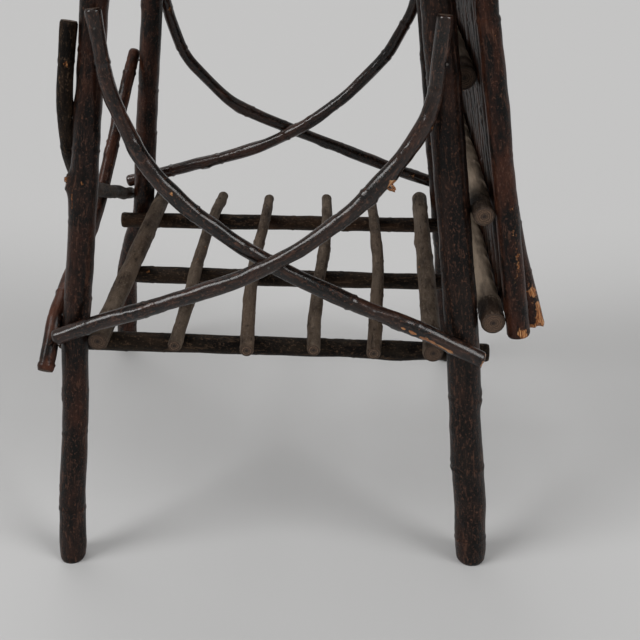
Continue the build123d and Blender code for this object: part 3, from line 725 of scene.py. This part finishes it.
def end_material():
    """A sawn end: growth rings, a dark pith and rim, or torn wood."""
    sh = Shader("sawn_end")
    place = sh.attribute("bark", "Vector")
    apart = sh.add("ShaderNodeSeparateXYZ", {0: place})
    flat = sh.add("ShaderNodeCombineXYZ", {0: apart.outputs[0], 1: apart.outputs[1]}).outputs[0]
    wobble = sh.noise(flat, scale=260.0, detail=2.0, rough=0.5)
    radius = sh.add("ShaderNodeVectorMath", {0: flat}, operation="LENGTH").outputs["Value"]
    phase = sh.maths("ADD", sh.maths("MULTIPLY", radius, 3400.0), sh.maths("MULTIPLY", wobble, 12.0))
    rings = sh.maths("SINE", phase)
    grain = sh.noise(flat, scale=900.0, detail=4.0, rough=0.7)
    relief = sh.maths("ADD", sh.maths("MULTIPLY", rings, 0.12), grain)
    colour = sh.ramp(relief, (0.32, (0.016, 0.009, 0.006)), (0.5, (0.075, 0.042, 0.025)),
                     (0.7, (0.19, 0.115, 0.068)))
    colour = sh.mix(sh.ramp(radius, (0.0009, 1.0), (0.0022, 0.0)), colour, (0.006, 0.004, 0.003))
    colour = torn_wood(sh, place, grain, colour)
    colour = sh.mix(sh.attribute("dark"), colour, (0.010, 0.007, 0.005))
    return sh.finish(Base_Color=colour, Roughness=0.75, Normal=sh.bump(relief, 0.8, 0.6 * MM))


def steel_material(name, colour, rust, rough):
    """Plain steel with brushed marks and some rust."""
    sh = Shader(name)
    place = sh.add("ShaderNodeTexCoord").outputs["Object"]
    cloud = sh.noise(place, scale=160.0, detail=5.0, rough=0.6)
    brushed = sh.noise(sh.stretched(place, (8, 1, 8)), scale=260.0, detail=2.0, rough=0.5)
    tint = sh.mix(sh.ramp(cloud, (0.48, 0.0), (0.68, 0.8)), colour, rust)
    tint = sh.mix(sh.ramp(brushed, (0.3, 0.0), (0.8, 0.35)), tint, shade(colour, 1.6))
    roughness = sh.ramp(cloud, (0.35, rough), (0.7, 0.75))
    return sh.finish(Base_Color=tint, Roughness=roughness, Metallic=0.85,
                     Normal=sh.bump(brushed, 0.25, 0.1 * MM))


HICKORY = {"dark": (0.0030, 0.0019, 0.0015), "grey": (0.012, 0.0078, 0.006), "red": (0.044, 0.014, 0.007),
           "light": (0.115, 0.053, 0.033), "cover": (0.42, 0.6), "rough": (0.3, 0.5)}
pole_bark = bark_material("pole_bark", coat=0.22, **HICKORY)
brace_bark = bark_material("brace_bark", coat=0.8, **HICKORY)
slat_bark = bark_material("slat_bark", dark=(0.034, 0.022, 0.015), grey=(0.112, 0.084, 0.062),
                          red=(0.110, 0.074, 0.051), light=(0.19, 0.145, 0.108), cover=(0.34, 0.56),
                          rough=(0.55, 0.8), coat=0.03)
batten_bark = bark_material("batten_bark", dark=(0.020, 0.012, 0.008), grey=(0.050, 0.036, 0.027),
                            red=(0.062, 0.036, 0.023), light=(0.14, 0.105, 0.08), cover=(0.34, 0.58),
                            rough=(0.5, 0.75), coat=0.03, bare=(0.34, 0.265, 0.20))
rail_bark = bark_material("rail_bark", dark=(0.005, 0.0035, 0.0027), grey=(0.023, 0.0165, 0.0115),
                          red=(0.034, 0.017, 0.009), light=(0.11, 0.068, 0.042), cover=(0.40, 0.62),
                          rough=(0.36, 0.6), coat=0.0)
sawn_end = end_material()
hinge_steel = steel_material("hinge_steel", (0.20, 0.19, 0.175), (0.07, 0.03, 0.014), 0.38)
nail_steel = steel_material("nail_steel", (0.10, 0.095, 0.09), (0.045, 0.02, 0.01), 0.45)

ROD = {"lumps": 0.65, "ridges": 0.2, "grit": 0.10, "nodes": 0.75, "knots_apart": 42}
POLE = Bark(pole_bark, **ROD)
BRACE = Bark(brace_bark, **ROD)
LEG = Bark(pole_bark, lumps=0.7, ridges=0.25, grit=0.10, nodes=0.6, knots_apart=55)
RAIL = Bark(rail_bark, lumps=0.5, ridges=0.2, grit=0.09, nodes=0.45, knots_apart=70)
TOP = Bark(pole_bark, lumps=0.4, ridges=0.2, grit=0.08, nodes=0.3, knots_apart=80, fullness=0.975)
SLAT = Bark(slat_bark, lumps=0.6, ridges=0.2, grit=0.09, nodes=0.5, knots_apart=55)
BATTEN = Bark(batten_bark, lumps=0.6, ridges=0.3, grit=0.15, nodes=0.5, knots_apart=70)

# the record's slot and the look of each node, by how its name starts; the first that fits counts
KINDS = {
    "leg_": ("pole_bark", LEG),
    "shelf_rail": ("pole_bark", RAIL),
    "shelf_slat": ("slat_bark", SLAT),
    "front_brace": ("pole_bark", BRACE),
    "back_brace": ("pole_bark", BRACE),
    "left_brace_rising": ("pole_bark", POLE),
    "left_brace_falling": ("pole_bark", RAIL),
    "leaf_batten": ("batten_bark", BATTEN),
    "leaf_stick": ("pole_bark", POLE),
    "top_stick": ("pole_bark", TOP),
    "top_": ("pole_bark", RAIL),
}
STEEL = {"nails": nail_steel, "screws": nail_steel, "hinge": hinge_steel}

# how grey (0) or red (1) a stick is, where it isn't left to chance
TONES = {
    "leg_front_left": 0.5, "leg_front_right": 0.35, "left_brace_falling": 0.55, "left_brace_rising": 0.96,
    "leaf_stick_01": 0.85, "leaf_stick_02": 0.6, "front_brace_rising": 0.4, "front_brace_falling": 0.45,
}
MARKS = {
    "leg_front_left": [
        Mark(0.64, (-0.95, -0.3, 0), 7, 4.0, torn=0.62),
        Mark(0.618, (-0.5, -0.8, 0), 1.6, -0.4, torn=0.62, stretch=7),
        Mark(0.455, (0.1, -1, 0.4), 4, 0.8),
        Mark(0.25, (-0.2, -1, 0.4), 3, 1.0, torn=0.5),
    ],
    "leg_front_right": [
        Mark(0.714, (0.26, -0.86, 0.45), 4, 1.0, torn=0.45),
        Mark(0.504, (0.5, -0.72, 0.49), 3.5, 0.9, torn=0.45),
        Mark(0.561, (-0.88, -0.44, 0.2), 4, 1.0),
        Mark(0.303, (1, 0, 0), 8, 1.6),
        Mark(0.185, (-1, 0, 0), 6, 1.5),
        Mark(0.40, (0.8, -0.5, 0), 5, 0.9),
    ],
    "front_brace_rising": [
        Mark(0.822, (0.19, -0.92, 0.35), 4, 1.4, torn=0.45),
        Mark(0.76, (-0.3, -0.9, 0.4), 4.5, 1.2),
        Mark(0.685, (0.75, -0.3, -0.6), 9, 2.9, stretch=2.4),
        Mark(0.702, (0.6, -0.7, -0.4), 3.2, -0.3, torn=0.95, stretch=1.6),
        Mark(0.155, (0.1, -0.9, 0.4), 4, 1.0),
    ],
    "front_brace_falling": [
        Mark(0.341, (0.1, -0.92, 0.39), 2.0, -0.5, torn=0.75, stretch=1.4),
        Mark(0.305, (0.2, -0.9, 0.42), 2.0, -0.3, torn=0.4, stretch=5),
        Mark(0.24, (0.3, -0.9, 0.3), 5, 1.5),
        Mark(0.832, (-0.1, -0.9, -0.15), 1.9, -0.4, torn=1.0, stretch=1.6),
        Mark(0.85, (-0.1, -0.9, -0.2), 2.0, -0.4, torn=1.0, stretch=2.0),
        Mark(0.885, (-0.1, -0.85, -0.35), 1.8, -0.4, torn=0.95, stretch=5),
        Mark(0.92, (-0.1, -0.8, -0.4), 1.8, -0.4, torn=0.9, stretch=4),
    ],
    "back_brace_rising": [Mark(0.211, (0.1, -0.6, -0.8), 5, 2.2)],
    "leaf_stick_01": [
        Mark(0.361, (0.2, -0.81, 0.3), 4.5, 1.0, torn=0.5, stretch=1.2),
        Mark(0.30, (0.3, -0.8, 0.3), 4, -0.3, torn=0.4, stretch=2.5),
        Mark(0.22, (0.3, -0.8, 0.4), 2.4, -0.4, torn=0.6, stretch=7),
        Mark(0.17, (0.1, -0.8, 0.3), 2.0, -0.3, torn=0.5, stretch=3),
        Mark(0.012, (0.3, -0.84, 0.3), 5.5, -0.8, torn=1.0, stretch=0.9),
    ],
    "leaf_stick_02": [
        Mark(0.113, (0.3, -0.7, 0.55), 4.5, -0.5, torn=1.0, stretch=1.3),
        Mark(0.04, (0.6, -0.6, 0.3), 4.2, -0.5, torn=1.0, stretch=4),
    ],
    "leaf_stick_03": [Mark(0.55, (-1, -0.3, 0), 6, 2.0, torn=0.5)],
}
# trimmed side shoots: share, direction, length and radius in mm, depth of the broken end
STUBS = {
    "front_brace_rising": [(0.70, (0.75, -0.45, -0.6), 9.0, 4.2, 6.0)],
    "front_brace_falling": [(0.398, (0.45, -0.17, 0.85), 2.0, 1.5, 0.0)],
    "leg_front_left": [(0.644, (-1, -0.45, 0.25), 5.5, 4.0, 2.5)],
    "leaf_batten_2": [(0.83, (-0.9, -0.2, 0.6), 5.0, 3.0, 0.0), (0.62, (-0.7, -0.2, 0.7), 4.0, 2.6, 1.0)],
}
# splintered ends, depth in mm at the first and the last end
RAGGED = {"leaf_stick_02": (9.0, 0.0), "front_brace_falling": (0.0, 2.5)}
SAWN = (0.0, 0.0)


# ---------------------------------------------------------------- pieces

def dress(node, body, heads):
    """Puts bark on the sticks of a node, as one piece that stands for it."""
    slot, kind = next(value for start, value in KINDS.items() if node.startswith(start))
    marks, ragged, tone = MARKS.get(node, ()), RAGGED.get(node, SAWN), TONES.get(node)
    sticks = []
    for i, line in enumerate(read_sticks(node)):
        sticks.append(Stick(f"{node}_{i}", line, kind, marks, heads, ragged, tone))
    for i, shoot in enumerate(STUBS.get(node, ())):
        sticks.append(stub(f"{node}_stub_{i}", sticks[0], *shoot))
    piece = bpy.data.objects.new(f"{node}_bark", stick_mesh(node, sticks))
    piece.data.materials.append(kind.material)
    piece.data.materials.append(sawn_end)
    bpy.context.scene.collection.objects.link(piece)
    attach(piece, body)
    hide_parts(node)


heads = nail_heads()
for body, members in frame["record"]["behaviour"]["bodies"].items():
    for node in members:
        steel = next((material for word, material in STEEL.items() if word in node), None)
        if steel is None:
            dress(node, body, heads)
        else:
            materials = frame["nodes"][node].data.materials
            materials.clear()
            materials.append(steel)


# ---------------------------------------------------------------- camera, floor and light

def aim(pitch, yaw, roll):
    """The camera's rotation: its own x, y and backward axes as columns."""
    pitch, yaw, roll = (math.radians(angle) for angle in (pitch, yaw, roll))
    ahead = Vector((-math.sin(yaw) * math.cos(pitch), math.cos(yaw) * math.cos(pitch), -math.sin(pitch)))
    right = Vector((math.cos(yaw), math.sin(yaw), 0))
    up = right.cross(ahead)
    across = right * math.cos(roll) + up * math.sin(roll)
    upward = -right * math.sin(roll) + up * math.cos(roll)
    return Matrix((across, upward, -ahead)).transposed()


camera = bpy.data.objects.new("camera", bpy.data.cameras.new("camera"))
camera.data.lens, camera.data.sensor_width = LENS, SENSOR
turned = aim(CAMERA_PITCH, CAMERA_YAW, CAMERA_ROLL).to_4x4()
camera.matrix_world = Matrix.Translation(CAMERA_AT) @ turned
bpy.context.scene.collection.objects.link(camera)
bpy.context.scene.camera = camera

corners = [(x * FLOOR_HALF, y * FLOOR_HALF, 0) for x, y in ((-1, -1), (1, -1), (1, 1), (-1, 1))]
floor_mesh = bpy.data.meshes.new("floor")
floor_mesh.from_pydata(corners, [], [(0, 1, 2, 3)])
floor_look = Shader("floor")
matt_grey = floor_look.finish(Base_Color=FLOOR_COLOUR, Roughness=0.9, Specular_IOR_Level=0.1)
floor_mesh.materials.append(matt_grey)
floor = bpy.data.objects.new("floor", floor_mesh)
bpy.context.scene.collection.objects.link(floor)

for name, (direction, angle, strength) in LAMPS.items():
    lamp = bpy.data.objects.new(name, bpy.data.lights.new(name, "SUN"))
    lamp.data.angle, lamp.data.energy = math.radians(angle), strength
    lamp.rotation_euler = Vector(direction).to_track_quat("Z", "Y").to_euler()
    bpy.context.scene.collection.objects.link(lamp)

world = bpy.data.worlds.new("world")
bpy.context.scene.world = world
world.use_nodes = True
sky = world.node_tree.nodes["Background"]
sky.inputs["Color"].default_value = WORLD_COLOUR
sky.inputs["Strength"].default_value = WORLD_STRENGTH
bpy.context.scene.view_settings.view_transform = "Standard"
